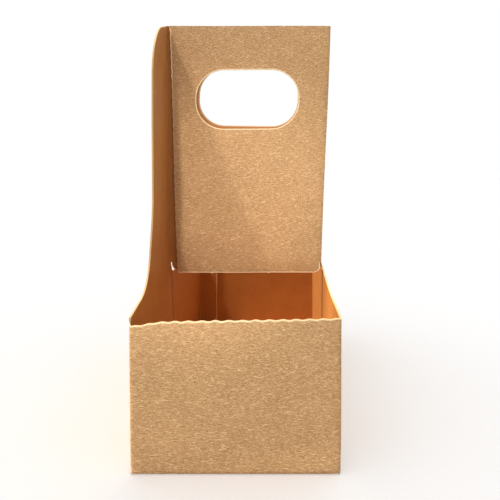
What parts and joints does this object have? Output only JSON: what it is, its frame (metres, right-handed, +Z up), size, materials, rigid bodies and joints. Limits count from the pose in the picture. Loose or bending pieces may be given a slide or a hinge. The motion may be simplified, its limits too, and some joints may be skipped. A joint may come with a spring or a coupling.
{
  "type": "cardboard cup carrier",
  "caption": "Folded kraft board cup carrier: a low open tray whose long walls rise into tall halves that fold across the middle as a glued handle with a hand hole.",
  "frame": {"origin": "middle of the underside, on the surface the carrier stands on", "axes": "+Z up, +Y along the tray's length from the end seen in the picture to the rear end, +X to the right as seen from that end"},
  "size_m": [0.1038, 0.19, 0.227],
  "materials": {
    "kraft_board": "unbleached kraft board, fibrous outside, smooth coated inside"
  },
  "bodies": {
    "root": {"carrier_sheet": "kraft_board"}
  },
  "joints": []
}
